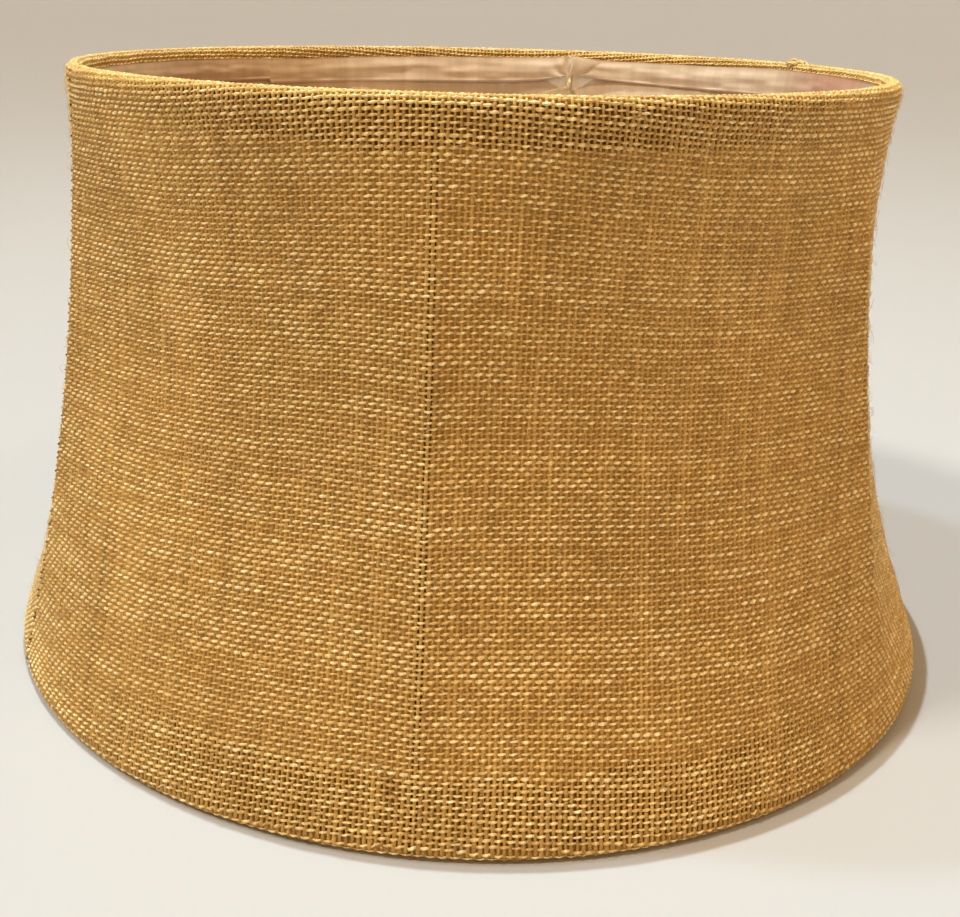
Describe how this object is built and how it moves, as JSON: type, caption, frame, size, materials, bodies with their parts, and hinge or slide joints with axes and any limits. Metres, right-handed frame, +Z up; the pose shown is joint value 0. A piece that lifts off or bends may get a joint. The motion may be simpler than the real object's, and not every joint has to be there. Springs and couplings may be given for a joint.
{
  "type": "lamp shade",
  "caption": "Flared drum lamp shade with taut burlap panels over a ribbed wire frame, a satin lining and a recessed spider fitter.",
  "frame": {"origin": "centre of the bottom rim, in the plane the shade stands on", "axes": "+Z up through the hub's hole; one rib stands at -Y"},
  "size_m": [0.4136, 0.4136, 0.254],
  "materials": {
    "burlap": "coarse open jute weave",
    "satin": "tan satin lining",
    "frame_steel": "plain drawn wire",
    "brass_plate": "bright brass plate"
  },
  "bodies": {
    "root": {"top_ring": "frame_steel", "bottom_ring": "frame_steel", "rib_1": "frame_steel", "rib_2": "frame_steel", "rib_3": "frame_steel", "rib_4": "frame_steel", "rib_5": "frame_steel", "rib_6": "frame_steel", "spider_arm_1": "brass_plate", "spider_arm_2": "brass_plate", "spider_arm_3": "brass_plate", "spider_hub": "brass_plate", "cover_front": "burlap", "cover_back": "burlap", "lining_front": "satin", "lining_back": "satin", "lining_top_band": "satin", "lining_bottom_band": "satin", "arm_neatener_1": "satin", "arm_neatener_2": "satin", "arm_neatener_3": "satin"}
  },
  "joints": []
}
